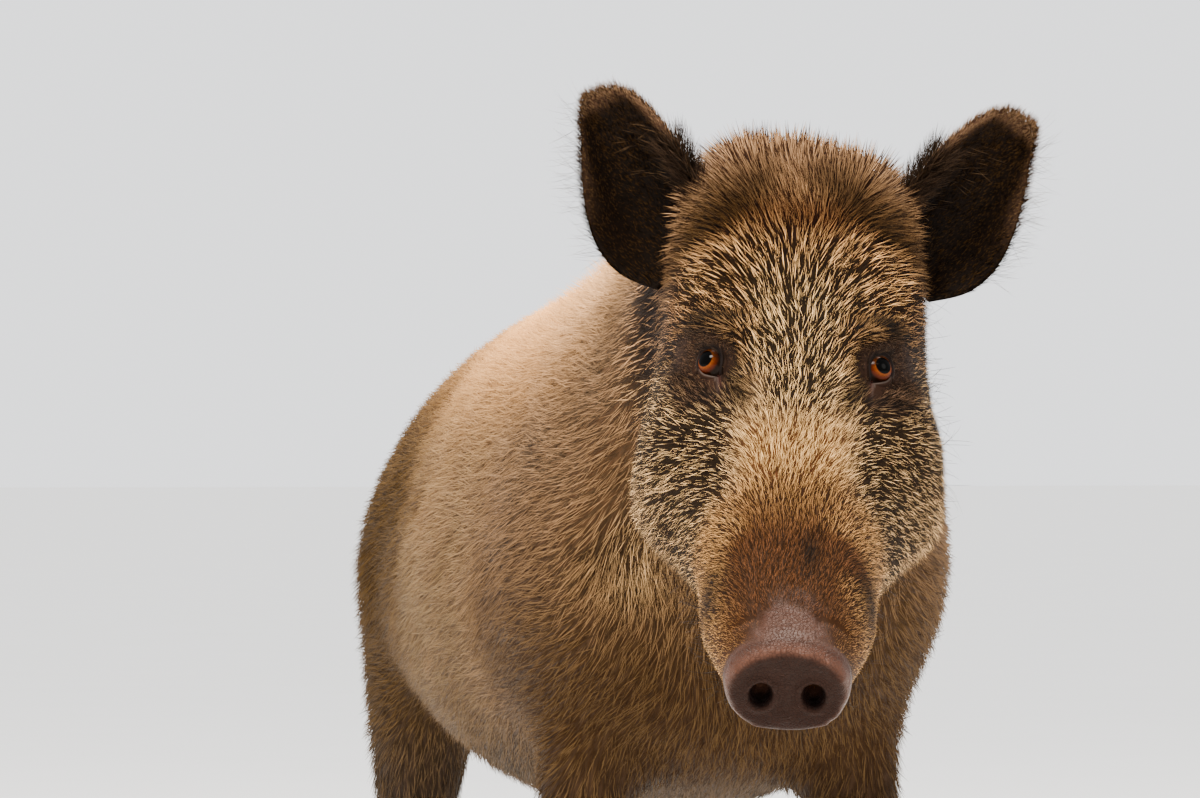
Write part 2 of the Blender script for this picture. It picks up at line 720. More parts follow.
def ear_grid():
    """share, turn and facing of every point of an ear's mesh, row after row."""
    turns = np.linspace(-1, 1, EAR_COLUMNS + 1)
    turn = np.concatenate([turns[:-1], turns[:0:-1]])
    facing = np.repeat([1.0, -1.0], EAR_COLUMNS)
    share_grid, turn_grid = np.meshgrid(np.linspace(-0.2, 1, EAR_ROWS), turn, indexing="ij")
    return share_grid.ravel(), turn_grid.ravel(), np.tile(facing, EAR_ROWS)


def ear_mesh(side):
    """One ear as a closed mesh with its faces turned out."""
    points, *_ = ear_point(side, *ear_grid())
    mesh = mesh_of("ear", points, tube_faces(EAR_ROWS, 2 * EAR_COLUMNS))
    work = bmesh.new()
    work.from_mesh(mesh)
    bmesh.ops.holes_fill(work, edges=[e for e in work.edges if e.is_boundary], sides=0)
    bmesh.ops.recalc_face_normals(work, faces=work.faces)
    bmesh.ops.triangulate(work, faces=[f for f in work.faces if len(f.verts) > 4])
    return from_work(work, "ear")


# %% Join the ears to the skin
body_points = len(wrapped.vertices)  # the points after these are the ears'
joined = bmesh.new()
for mesh in (wrapped, ear_mesh(1), ear_mesh(-1)):
    joined.from_mesh(mesh)
skin_mesh = from_work(joined, "skin")
skin_mesh.shade_smooth()
skin = placed(skin_mesh)
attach(skin, "root")
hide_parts(*[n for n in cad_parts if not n.startswith(("eye_", "hoof_", "dewclaw_"))])
print("skin with ears:", len(skin_mesh.polygons), "faces")

# %% [markdown]
# ## Her markings
#
# Skin and coat must agree about what is dark and what is pale, so one function tells the
# colours at any place on the body: the bare skin's, a hair's at its root, and a hair's at its
# tip. It starts with the neck's brown and paints soft patches over it, as a taxidermist does
# with an airbrush. Wild boar hair is dark at the root and pale at the tip, and the mixture
# gives the coat its salt-and-pepper look.

# %% Colours by name


def tone(code):
    """A colour as Blender wants it, in linear light, from the usual six-digit code."""
    parts = np.array([int(code[i:i + 2], 16) / 255 for i in (0, 2, 4)])
    return np.where(parts <= 0.04045, parts / 12.92, ((parts + 0.055) / 1.055) ** 2.4)


# bare skin, hair at the root, hair at the tip, share of the hairs that are pale at the tip
NECK = ("3b2818", "322518", "644b33", 0.7)
LOW_SHOULDER = ("24170b", "1f1206", "3b2b17", 0.65)
FLANK = ("60472d", "594028", "73593a", 0.85)
LOW_FLANK = ("493927", "433322", "584832", 0.8)
WITHERS = ("8c6a46", "896744", "aa8159", 0.85)
BACK = ("b07a46", "a77441", "cb9157", 0.9)
RUMP = ("271907", "1f1304", "38270e", 0.65)
BELLY = ("1e140c", "1b1208", "3f301f", 0.7)
LEG = ("191009", "130d07", "382b1b", 0.5)
FOOT = ("100c09", "100b07", "2b2017", 0.5)
CROWN = ("28170c", "22130a", "8b6a4b", 0.5)
WARM_BROW = ("130501", "0e0301", "4b2811", 0.34)
FOREHEAD = ("0e0601", "070201", "ffc27c", 0.135)
FOREHEAD_SIDE = ("0b0501", "060100", "efac75", 0.055)
TEMPLE = ("110805", "0a0503", "a8805a", 0.12)
BLAZE = ("100702", "070301", "ffcf8c", 0.175)
CHEEK = ("0d0601", "070201", "ffd090", 0.1)
BRIDGE = ("3b1e07", "2c1606", "d9ac6c", 0.45)
MUZZLE = ("1a0c03", "130801", "5a371f", 0.42)
MUZZLE_RIM = ("251205", "190d04", "c29156", 0.29)
DARK_PATCH = ("0a0502", "080301", "2e2014", 0.3)
JOWL = ("1b0f05", "120803", "f3c689", 0.2)
EYE_RING = ("180d07", "080402", "5b4432", 0.22)
EYE_DARK = ("090402", "040201", "2b1e11", 0.25)
CHIN = ("110a05", "0d0703", "765938", 0.35)
NOSE = "2d1c15"
NOSE_DISC = "160a06"
NOSE_RIM = "412a21"
NOSTRIL = "060303"
EAR = ("070301", "030100", "2c1d0c", 0.45)
EAR_RIM = ("3c2a1d", "231710", "7b5f45", 0.55)
EAR_HOLLOW = ("020101", "020100", "080502", 0.4)
LID_EDGE_DARK = "0b0706"
LID_EDGE_WET = "2b231f"
TEAR_CORNER = "2e1511"

# %% Where each colour lies


def patches(points):
    """Every patch as its colours and how strongly it covers each point, first to last."""
    left, ahead, up, along, above = in_head(points)
    side = np.abs(left)
    _, y, z = points.T
    head, leg, tail = regions(points)
    body = 1 - head
    low = smooth(0.56, 0.40, z)
    near_eye = np.hypot((side - 58) / 28, (up + 5) / 32) + 0.12 * wander(points, 0.02, 5)
    face = head * smooth(-60, -20, ahead)
    inner, outer = np.array(EAR_ROOTS, float)
    from_root = np.stack([side, ahead, up], 1) - inner
    share = np.clip(from_root @ (outer - inner) / ((outer - inner) @ (outer - inner)), 0, 0.6)
    by_ear = np.linalg.norm(from_root - np.outer(share, outer - inner), axis=1)
    off, by_mouth = mouth_line(along, above, side)
    blotch = 0.04 * wander(points, 0.25, 13) + 0.02 * wander(points, 0.06, 15)
    return [
        (LOW_SHOULDER, body * low * smooth(0.1, -0.1, y)),
        (FLANK, body * smooth(-0.13, 0.20, y + 0.35 * (z - 0.5) + blotch) * smooth(0.36, 0.48, z)),
        (LOW_FLANK, body * smooth(0.60, 0.44, z) * smooth(-0.12, 0.15, y + blotch)),
        (NECK, body * 0.5 * smooth(0.1, 1.0, wander(points, 0.05, 14)) * smooth(-0.2, 0.1, y)),
        (BACK, body * smooth(-0.24, 0.08, y + blotch) * smooth(0.56, 0.70, z)),
        (WITHERS, body * smooth(-0.30, -0.16, y) * smooth(0.04, -0.12, y + blotch)
         * smooth(0.58, 0.7, z) * (0.75 + 0.25 * wander(points, 0.05, 16))),
        (RUMP, body * smooth(0.10, 0.56, y + 0.6 * (0.6 - z) + 2 * blotch) * smooth(0.80, 0.52, z)),
        (LOW_SHOULDER, body * 0.42 * smooth(0.2, 1.0, wander(points, 0.016, 17))
         * smooth(0.35, -0.1, y)),
        (BELLY, body * smooth(0.40, 0.33, z) * smooth(-0.2, 0.0, y)),
        (LEG, body * smooth(0.42, 0.27, z) * leg),
        (FOOT, leg * smooth(0.17, 0.09, z)),
        (RUMP, tail),
        (FOOT, tail * smooth(0.50, 0.42, z)),
        (CHIN, head * smooth(-95, -120, above)),
        (TEMPLE, smooth(-190, -125, ahead) * smooth(46, 64, side) * smooth(-70, -30, up)),
        (FOREHEAD, face * smooth(-25, 5, up)),
        (FOREHEAD_SIDE, face * smooth(0, 30, up) * smooth(62, 84, side)),
        (CHEEK, head * smooth(5, -20, up) * smooth(-125, -100, above) * smooth(24, 44, side)),
        (JOWL, head * bump((side - 98, 16), (up + 105, 30)) * smooth(0.2, 0.6, head)),
        (BLAZE, face * smooth(38, 12, side + 6 * wander(points, 0.02, 6))
         * smooth(-60, -25, up) * smooth(75, 35, up)),
        (BRIDGE, head * smooth(45, 22, side) * smooth(-22, -55, up) * smooth(175, 120, along)),
        (MUZZLE_RIM, head * smooth(92, 128, along) * smooth(-105, -80, above)),
        (MUZZLE, head * smooth(52, 22, side + 9 * wander(points, 0.04, 7))
         * smooth(92, 165, along)),
        (DARK_PATCH, head * bump((side - 47, 13), (along - 178, 22), (above + 66, 26))),
        (DARK_PATCH, 0.8 * head * bump((left - 12, 8), (along - 172, 14))),
        (EYE_DARK, head * by_mouth * bump((off, 3.2))),
        (WARM_BROW, face * smooth(62, 92, up + 6 * wander(points, 0.05, 8))),
        (CROWN, smooth(-190, -150, ahead) * smooth(88, 118, up)),
        (EAR, head * smooth(50, 32, by_ear - 14 * smooth(60, 90, up))),
        (EYE_RING, face * smooth(1.15, 0.75, near_eye)),
        (EYE_DARK, face * bump((side - 52, 22), (up - 26 + 0.010 * (side - 52) ** 2, 6))),
        (EYE_DARK, face * 0.85 * bump((side - 37, 7), (up + 2, 26))),
        (EYE_DARK, face * 0.9 * bump((side - 32, 7), (up + 25, 10))),
    ]

# %% Lay colours over one another


def paint(colour, code, cover):
    """Lays another colour over the one that is there, as strongly as cover says."""
    colour += (tone(code) - colour) * np.clip(cover, 0, 1)[:, None]


def layered(count, base, layers):
    """The colours of the skin, of a hair's root and of its tip, and the share of pale hairs."""
    *codes, share = base
    colours = [np.tile(tone(code), (count, 1)) for code in codes]
    shares = np.full(count, share)
    for (*codes, share), cover in layers:
        for colour, code in zip(colours, codes):
            paint(colour, code, cover)
        shares += (share - shares) * np.clip(cover, 0, 1)
    return *colours, shares


def coat_colours(points):
    return layered(len(points), NECK, patches(points))


def ear_colours(share, turn, facing):
    """Like coat_colours, for places on an ear. The rim towards the crown is the palest."""
    rim = smooth(0.64, 0.92, np.abs(turn)) * np.where(turn < 0, 1.0, 0.3)
    rim = np.maximum(rim, 0.8 * smooth(0.86, 0.98, share)) * smooth(0.25, 0.6, share)
    hollow = (facing > 0) * bump((share - 0.15, 0.32), (turn + 0.4, 0.45))
    return layered(len(share), EAR, [(EAR_RIM, rim), (EAR_HOLLOW, hollow)])


# %% Paint the skin


def bareness(points):
    """1 where no hair grows: the nose disc and its bare top."""
    left, _, _, along, above = in_head(points)
    side = np.abs(left) + 3 * wander(points, 0.014, 9)
    ahead = along + 4 * wander(points, 0.018, 10)
    width = np.interp(along, [195, 238], [12, 27])
    top = smooth(6, -8, side - width) * smooth(196, 222, ahead) * smooth(-72, -50, above)
    return np.maximum(smooth(238, 244, along), top) * headness(points)


def nose_paint(points):
    """The disc's dark face, its paler rim and the black inside of the nostrils."""
    ring, hole = nose_rings(points)
    disc = smooth(243, 249, in_head(points)[3]) * headness(points)
    rim = 0.7 * (disc * bump((ring - 1.0, 0.07)))
    return [(NOSE_DISC, disc), (NOSE_RIM, rim), (NOSTRIL, disc * smooth(1.15, 0.85, hole))]


def lid_paint(points):
    """The creases, the dark edge above, the wet edge below and the red inner corner."""
    paints = []
    for side in (1, -1):
        gap, to_nose, rise, angle = slit_map(side, points)
        near = smooth(17.2, 15.8, from_ball(side, points))
        below = smooth(-0.45, -0.65, np.sin(angle)) * smooth(0.25, 0, angle - CORNER_ANGLE)
        dark = near * (1 - below) * smooth(2.0 + 1.2 * np.sin(angle), 0.6, gap)
        wet = near * below * smooth(-0.9, -0.4, gap) * smooth(0.6, 0.2, gap)
        wet *= smooth(9.5, 7, to_nose)
        inner = near * bump((to_nose - TEAR_NOSEWARDS, 1.5), (rise + 9.2, 1.6))
        inner *= smooth(0.5, -0.3, gap)
        paints += [(EYE_DARK[0], 0.8 * lid_lines(side, points)), (LID_EDGE_DARK, dark),
                   (LID_EDGE_WET, wet), (TEAR_CORNER, 0.8 * inner)]
    return paints


skin_points = points_of(skin_mesh)
skin_colour = coat_colours(skin_points)[0]
skin_bare = bareness(skin_points)
for code, cover in [(NOSE, skin_bare), *nose_paint(skin_points), *lid_paint(skin_points)]:
    paint(skin_colour, code, cover)
skin_colour[body_points:] = np.tile(ear_colours(*ear_grid())[0], (2, 1))
skin_bare[body_points:] = 0
give(skin_mesh, "skin_colour", skin_colour)
give(skin_mesh, "bare", skin_bare)

# %% [markdown]
# ## Shader maths as Python
#
# A material is a graph of nodes, and long chains of Math nodes are hard to read. The class
# below wraps one socket and overloads Python's operators, so that `1 - mask * 0.5` adds the
# nodes it needs. `Shade.node` makes any other node from its type, its settings and its inputs.

# %% A socket that can be added and multiplied


class Value:
    """A socket of a node tree, on which sums can be written."""

    def __init__(self, shade, socket):
        self.shade, self.socket = shade, socket

    def _sum(self, operation, *others):
        kind = "VectorMath" if self.socket.type in ("RGBA", "VECTOR") else "Math"
        return self.shade.node("ShaderNode" + kind, {"operation": operation}, [self, *others])

    def __add__(self, other):
        return self._sum("ADD", other)

    __radd__ = __add__

    def __mul__(self, other):
        return self._sum("MULTIPLY", other)

    __rmul__ = __mul__

    def __sub__(self, other):
        return self._sum("SUBTRACT", other)

    def __rsub__(self, other):
        return self._sum("MULTIPLY", -1) + other

    def __pow__(self, power):
        return self._sum("POWER", power)

    def step(self, start, end):
        """A soft change from 0 to 1 as this value runs from start to end."""
        settings = {"interpolation_type": "SMOOTHSTEP"}
        inputs = {"Value": self, "From Min": start, "From Max": end}
        return self.shade.node("ShaderNodeMapRange", settings, inputs, "Result")

# %% A material under construction


class Shade:
    """A material under construction."""

    def __init__(self, name):
        self.material = bpy.data.materials.new(name)
        self.material.use_nodes = True
        self.nodes = self.material.node_tree.nodes
        self.links = self.material.node_tree.links
        self.surface = self.nodes["Principled BSDF"]

    def node(self, kind, settings=None, inputs=(), output=0):
        made = self.nodes.new(kind)
        for name, value in (settings or {}).items():
            setattr(made, name, value)
        named = inputs.items() if isinstance(inputs, dict) else enumerate(inputs)
        for place, value in named:
            self.feed(made.inputs[place], value)
        return Value(self, made.outputs[output])

    def feed(self, socket, value):
        if isinstance(value, Value):
            self.links.new(value.socket, socket)
        elif isinstance(value, str):  # a colour's code
            socket.default_value = (*tone(value), 1.0)
        elif socket.type == "VECTOR" and isinstance(value, (int, float)):
            socket.default_value = (value,) * 3
        else:
            socket.default_value = value

    def read(self, attribute, kind="Fac"):
        return self.node("ShaderNodeAttribute", {"attribute_name": attribute}, (), kind)

    def mix(self, share, first, second):
        settings = {"data_type": "RGBA"}
        inputs = {0: share, 6: first, 7: second}
        return self.node("ShaderNodeMix", settings, inputs, 2)

    def place(self):
        return self.node("ShaderNodeTexCoord", None, (), "Object")

    def noise(self, scale, detail=3, stretch=None):
        at = self.place()
        if stretch is not None:
            at = at * stretch
        inputs = {"Vector": at, "Scale": scale, "Detail": detail}
        return self.node("ShaderNodeTexNoise", None, inputs, "Fac")

    def relief(self, strength, distance, height):
        """Light and shade as if the surface stood out by height times distance, in metres."""
        inputs = {"Strength": strength, "Distance": distance, "Height": height}
        return self.node("ShaderNodeBump", None, inputs, "Normal")

    def finish(self, **sockets):
        for name, value in sockets.items():
            self.feed(self.surface.inputs[name.replace("_", " ")], value)
        return self.material


# %% [markdown]
# ## Skin
#
# Under the coat the skin is matt and dark, with a grain of pores and short flat hairs. On the
# nose it is bare: tough, slightly moist and covered in small pebbles between fine creases. One
# material does both, and the painted `bare` value turns it from one to the other.

# %% The skin's material


def skin_material():
    shade = Shade("skin")
    colour = shade.read("skin_colour", "Color")
    bare = shade.read("bare")
    mottle = shade.noise(90, 4)
    grain = shade.noise(900, 3)
    colour = shade.mix(mottle.step(0.35, 0.7) * 0.35, colour, colour * 0.55)
    pebbles = shade.node("ShaderNodeTexVoronoi", {"feature": "DISTANCE_TO_EDGE"},
                         {"Vector": shade.place(), "Scale": 420.0}, "Distance")
    crease = pebbles.step(0.0, 0.12)
    height = grain * 0.4 + (crease * 1.6 + shade.noise(170, 3) * 3) * bare
    relief = shade.relief(0.6, 0.7 * MM, height)
    colour = shade.mix((1 - crease) * bare * 0.5, colour, colour * 0.5)
    return shade.finish(Base_Color=colour, Roughness=0.62 - bare * 0.22 + grain * 0.1,
                        Normal=relief, Specular_IOR_Level=0.03)


skin_mesh.materials.append(skin_material())

# %% [markdown]
# ## Eyes
#
# A wild boar's eye is small, amber to brown, with a round pupil and a clear, bulging front. A
# ball with a raised cornea is turned from a profile, and its material paints the rings by
# their distance from the middle. A clear coat over it gives the wet shine.

# %% Turn the eyeballs
CORNEA_RISE = 1.5  # mm
IRIS_ANGLE = math.radians(50)
EYE_RINGS, EYE_SPOKES = 40, 64


def eyeball(side):
    gaze = GAZE[side] @ np.stack([LEFT, AHEAD, UP])
    across = unit(np.cross(UP, gaze))
    upright = np.cross(gaze, across)
    angles = np.linspace(0, math.pi, EYE_RINGS + 1)[1:-1]
    angle, spoke = np.meshgrid(angles, full_turn(EYE_SPOKES), indexing="ij")
    radius = BALL_RADIUS + CORNEA_RISE * np.cos(np.clip(angle / IRIS_ANGLE, 0, 1) * math.pi / 2)
    local = np.stack([np.sin(angle) * np.cos(spoke), np.sin(angle) * np.sin(spoke),
                      np.cos(angle)], -1)
    local = (local * radius[..., None]).reshape(-1, 3)
    poles = [[0, 0, BALL_RADIUS + CORNEA_RISE], [0, 0, -BALL_RADIUS]]
    local = np.concatenate([local, poles])
    squares = tube_faces(EYE_RINGS - 1, EYE_SPOKES)[:, [0, 3, 2, 1]]
    front = fan(len(local) - 2, 0, EYE_SPOKES)
    back = fan(len(local) - 1, len(local) - 2 - EYE_SPOKES, EYE_SPOKES, backwards=True)
    points = EYES[side] + MM * (local @ np.stack([across, upright, gaze]))
    mesh = mesh_of("eye_ball_left" if side > 0 else "eye_ball_right", points,
                   [squares, front, back])
    give(mesh, "eye_place", local / BALL_RADIUS)
    return mesh

# %% The eye's material


def eye_material():
    """Pupil, iris and dark edge by the distance from the middle of the eye."""
    shade = Shade("wet_eye")
    at = shade.read("eye_place", "Vector")
    x, y = (shade.node("ShaderNodeSeparateXYZ", None, [at], k) for k in range(2))
    across = (x * x + y * y) ** 0.5
    fibres = shade.node("ShaderNodeTexNoise", None, {
        "Vector": shade.node("ShaderNodeCombineXYZ", None, [x * 1.0, y * 1.0, across * 0.2]),
        "Scale": 16.0, "Detail": 6.0, "Roughness": 0.7}, "Fac")
    ring = across + (fibres - 0.5) * 0.08
    colour = shade.mix(ring.step(0.46, 0.66), "4e2405", "2b0a01")
    colour = shade.mix((fibres - 0.35).step(0.0, 0.35) * 0.5, colour, "230a01")
    colour = shade.mix((y + fibres * 0.1).step(-0.3, 0.35) * 0.75, colour, "100501")
    colour = shade.mix(ring.step(0.64, 0.76), colour, "080301")
    pupil = ((x * 2.1) ** 2 + (y * 2.15) ** 2) ** 0.5
    colour = shade.mix(1 - pupil.step(0.95, 1.03), colour, "010101")
    colour = shade.mix(across.step(0.78, 0.86), colour, "0c0705")
    return shade.finish(Base_Color=colour, Roughness=0.4, Coat_Weight=0.12, Coat_Roughness=0.03,
                        Coat_IOR=1.3, Specular_IOR_Level=0.0)


wet_eye = eye_material()
for side, name in ((1, "left"), (-1, "right")):
    ball_mesh = eyeball(side)
    ball_mesh.materials.append(wet_eye)
    ball = placed(ball_mesh)
    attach(ball, "root")
    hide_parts("eye_" + name)
print("eyeballs of", 2 * BALL_RADIUS, "mm")

# %% [markdown]
# ## Hooves and dew claws
#
# Each foot stands on two hooves and carries two dew claws behind. Horn grows down from the
# hair line in faint rings and wears pale and scuffed at the ground. A hoof is lofted through
# four outlines from the sole up, and then fitted exactly to its block.

# %% Outlines of horn
# mm: height over the sole, reach to the toe, reach to the heel, half width
HOOF_ROWS = ((0, 37, 27, 12.5), (10, 32, 28, 13), (24, 23, 25, 12.3), (36, 14, 20, 10.5))
# mm: depth under the root, shift to the back, radius
CLAW_ROWS = ((0, 0, 8), (8, 5, 8.5), (18, 11, 7), (27, 15, 4), (31, 16.5, 1.5))
HORN_SPOKES, HORN_LAYERS = 40, 16


def rounded(value, power):
    return np.sign(value) * np.abs(value) ** (2 / power)


def lofted(name, rings, box):
    """A closed mesh through level rings, stretched to fill its block's box."""
    around = rings.shape[1]
    points = rings.reshape(-1, 3)
    low, high = (np.array(corner) for corner in box)
    points = low + (points - points.min(0)) * ((high - low) / np.ptp(points, axis=0))
    middles = np.stack([points[:around].mean(0), points[-around:].mean(0)])
    end = len(points)
    return mesh_of(name, np.concatenate([points, middles]), [
        tube_faces(len(rings), around), fan(end, 0, around, backwards=True),
        fan(end + 1, end - around, around)])


def hoof_rings(outward):
    heights = np.linspace(0, HOOF_ROWS[-1][0], HORN_LAYERS)
    toe, heel, wide = through(HOOF_ROWS, heights).T
    angle = full_turn(HORN_SPOKES)
    across, back = np.cos(angle), np.sin(angle)
    shape = np.where(back < 0, rounded(back, 1.6), rounded(back, 2.4))
    long = np.where(back < 0, toe[:, None], heel[:, None]) * shape
    x = wide[:, None] * rounded(across, 2.3) + outward * np.where(back < 0, 3 * back, 0)
    bevel = 1 - 0.05 * (heights < 1)
    return np.stack([x * bevel[:, None], long * bevel[:, None], heights[:, None] + 0 * x], -1)


def claw_rings(outward):
    drops = np.linspace(CLAW_ROWS[-1][0], 0, HORN_LAYERS)
    back, radius = through(CLAW_ROWS, drops).T
    angle = full_turn(HORN_SPOKES)
    x = (outward * 0.12 * drops)[:, None] + radius[:, None] * np.cos(angle)
    y = back[:, None] + radius[:, None] * np.sin(angle)
    return np.stack([x, y, -drops[:, None] + 0 * x], -1)


# %% The horn's material


def horn_material():
    shade = Shade("horn")
    rings = shade.noise(60, 3, stretch=(0.25, 0.25, 6.0))
    scuffs = shade.noise(260, 4)
    height = shade.node("ShaderNodeSeparateXYZ", None, [shade.place()], 2)
    colour = shade.mix(rings.step(0.4, 0.65), "0b0806", "1d140f")
    worn = height.step(0.012, 0.001) * scuffs.step(0.4, 0.6)
    colour = shade.mix(worn * 0.6, colour, "463a30")
    relief = shade.relief(0.5, 0.5 * MM, rings + scuffs * 0.4)
    return shade.finish(Base_Color=colour, Roughness=0.45 + worn * 0.3, Normal=relief,
                        Specular_IOR_Level=0.15)


horn = horn_material()

# %% Set a horn on every hoof and dew claw
for node in sorted(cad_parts):
    if not node.startswith(("hoof_", "dewclaw_")):
        continue
    outward = (1 if "_left_" in node else -1) * (1 if node.endswith("outer") else -1)
    rings = hoof_rings(outward) if node.startswith("hoof_") else claw_rings(outward)
    horn_mesh = lofted(node.replace("hoof", "horn_hoof").replace("dewclaw", "horn_claw"),
                       rings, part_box(node))
    horn_mesh.materials.append(horn)
    claw = placed(horn_mesh)
    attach(claw, "root")
    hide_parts(node)

# %% [markdown]
# ## The lie of the coat
#
# Hair grows backwards from the nose over the whole animal, and down the legs. A direction in
# space, laid flat on the skin, gives that lie without any combing: over the domed forehead it
# fans out by itself, because the skin turns away on both sides.

# %% The direction of the hair
DOWN, BACKWARDS = np.array([0, 0, -1.0]), np.array([0, 1.0, 0])


def lie_of(points, normals):
    """The direction in which the hair lies, flat on the skin."""
    left, _, up, along, _ = in_head(points)
    head, leg, tail = (part[:, None] for part in regions(points))
    side = np.tanh(left / 25)[:, None] * LEFT
    cheek = (smooth(10, -30, up) * smooth(30, 60, np.abs(left)) * smooth(150, 90, along))[:, None]
    temple = (smooth(10, 60, up) * smooth(25, 65, np.abs(left)))[:, None]
    on_head = -AHEAD - 0.30 * cheek * UP + (0.10 + 0.5 * temple) * side
    flank = np.clip(1 - np.abs(normals[:, 2:]), 0, 1)
    on_trunk = BACKWARDS + DOWN * 0.45 * flank
    on_leg = DOWN + BACKWARDS * 0.3
    field = on_trunk * (1 - leg) + on_leg * leg
    field = field * (1 - tail) + DOWN * tail
    field = field * (1 - head) + on_head * head
    field = unit(field)
    for size, seeds in ((0.09, (21, 22, 23)), (0.02, (24, 25, 26))):  # wide and narrow swirls
        field = field + 0.12 * np.stack([wander(points, size, seed) for seed in seeds], 1)
    return unit(field - normals * (field * normals).sum(1, keepdims=True))


# %% Length, width and rise of the hair


def hair_sizes(points, normals):
    """Length and width in mm, and the angle in degrees at which the hair leaves the skin."""
    left, ahead, up, along, _ = in_head(points)
    head, leg, tail = regions(points)
    mane = maneness(points, normals)
    nape = smooth(-280, -150, along)  # behind the crown the mane is still short
    ridge = mane * smooth(60, 15, np.abs(points[:, 0]) / MM)
    length = (28 + 14 * mane + 10 * ridge) * (1 - nape) + 25 * nape
    on_leg = np.interp(points[:, 2], [0.04, 0.1, 0.2, 0.35], [12, 12, 15, 20])
    length = length * (1 - leg) + on_leg * leg
    length = length * (1 - tail) + np.interp(points[:, 2], [0.38, 0.46, 0.56], [52, 34, 20]) * tail
    on_face = np.interp(along, [-120, -60, -20, 20, 80, 150, 210, 242],
                        [24, 18, 15, 12.5, 10.5, 8.5, 5, 3])
    length = length * (1 - head) + on_face * head
    length += 9 * head * bump((np.abs(left) - 100, 18), (up + 112, 34))  # shaggy jowls
    near_eye = smooth(0.8, 1.35, np.hypot((np.abs(left) - 57) / 22, (up - 1) / 18))
    length *= np.where(head > 0.5, 0.26 + 0.74 * near_eye, 1)
    width = np.interp(length, [3, 9, 16, 26, 44], [0.4, 0.5, 0.62, 0.8, 0.95])
    on_head_width = np.interp(length, [3, 8, 14, 26], [0.21, 0.27, 0.29, 0.33])
    width = width * (1 - head) + on_head_width * head
    rise = 14 + (12 * mane + 14 * ridge) * (1 - head) * (1 - 0.2 * nape)
    rise = rise + 14 * head * smooth(20, 100, up)
    rise = rise + head * (4 * smooth(-20, -60, up) + 20 * smooth(70, 115, up))
    crown = smooth(78, 112, up) * smooth(-175, -140, ahead)
    rise = np.maximum(rise, 50 * crown)
    length = np.maximum(length * (1 - 0.15 * crown), 22 * crown)
    return length, width, rise


# %% [markdown]
# ## Locks as slivers
#
# A lock of hair is a few hairs that lie together, thick near its root and sharp at its tip.
# The cheapest closed form for that is a sliver with four faces: its root, its tip, and two
# points beside and a little under the line between them, so that the line is a ridge. A long
# loose hair has rings of three points on the way instead, and can curve. All locks of a piece
# are computed at once as arrays.

# %% Slivers and hairs
SLIVER_BELLY = 0.35  # where a sliver is widest, as a share of its length
SLIVER_ROOT, HAIR_ROOT = 0.4, 0.5  # mm by which roots stand in the skin


def sliver_faces(rings):
    """The triangles of one lock: its root point, its rings of three, and its tip point."""
    if rings == 0:
        return np.array([(0, 3, 1), (0, 2, 3), (0, 1, 2), (3, 2, 1)])
    tip = 1 + 3 * rings
    faces = []
    for k in range(3):
        a, b = k, (k + 1) % 3
        faces.append((0, 1 + b, 1 + a))
        faces.append((tip, tip - 3 + a, tip - 3 + b))
        for r in range(rings - 1):
            low, high = 1 + 3 * r, 4 + 3 * r
            faces += [(low + a, low + b, high + b), (low + a, high + b, high + a)]
    return np.array(faces)

# %% The points of slivers and hairs


def tilted(normals, lies, angle):
    """The way a hair runs that leaves the skin at this angle, and the way its ridge faces."""
    cos, sin = np.cos(angle)[:, None], np.sin(angle)[:, None]
    return cos * lies + sin * normals, cos * normals - sin * lies


def sliver_points(roots, normals, lies, length, width, rise):
    """Root, two sides and tip of every four-faced sliver."""
    sides = np.cross(normals, lies)
    run, ridge = tilted(normals, lies, rise)
    roots = roots - normals * SLIVER_ROOT * MM
    tip = roots + run * length[:, None]
    belly = roots + run * (SLIVER_BELLY * length)[:, None] - ridge * (0.3 * width)[:, None]
    half = sides * (0.5 * width)[:, None]
    along = np.array([0, SLIVER_BELLY, SLIVER_BELLY, 1])
    return np.stack([roots, belly + half, belly - half, tip], 1), along


def hair_points(roots, normals, lies, length, width, rise, fall, rings):
    """Points of every hair with rings. rise and fall are its angles at root and tip."""
    sides = np.cross(normals, lies)
    shares = np.linspace(0, 1, rings + 2)
    rows = [roots - normals * HAIR_ROOT * MM]
    spine, last = roots.copy(), 0.0
    for share in shares[1:]:
        run, ridge = tilted(normals, lies, rise + (fall - rise) * (share + last) / 2)
        spine = spine + run * (length * (share - last))[:, None]
        half = (width * 0.5 * (1 - 0.55 * (share - shares[1])))[:, None]
        rows += [spine + sides * half, spine + ridge * half * 0.7, spine - sides * half]
        last = share
    rows[-3:] = [spine]  # the tip has no ring
    return np.stack(rows, 1), np.repeat(shares, [1, *[3] * rings, 1])

# %% [markdown]
# ## The hair's material
#
# The colour runs from the root's to the tip's along each lock, at a height that differs from
# lock to lock. Each lock carries both colours and that chance as values of its points. Hair is
# glossier than skin but its shine is broken up, so the roughness is medium and varies a little.

# %% Paint the hair


def hair_material():
    shade = Shade("hair")
    along, chance = shade.read("along"), shade.read("chance")
    root, tip = shade.read("root_colour", "Color"), shade.read("tip_colour", "Color")
    pale = (along - chance * 0.3).step(0.08, 0.5)
    clump = shade.noise(110, 2)
    colour = shade.mix(pale, root, tip)
    colour = shade.mix((clump - 0.3).step(0.0, 0.5) * 0.22, colour, colour * 0.6)
    return shade.finish(Base_Color=colour, Roughness=0.5 + clump * 0.15, Specular_IOR_Level=0.02)


hair = hair_material()

# %% [markdown]
# ## One piece of coat
#
# A piece of coat is one mesh with all its locks. Most of them get a root's colour alone, and
# some run out to a pale tip. Steps of the golden ratio pick those: the picks never bunch up,
# even where few hairs are pale. Length, width and angle vary from lock to lock, so that the
# coat looks grown. A flat copy of each lock is laid out where its root is on an unwrap.

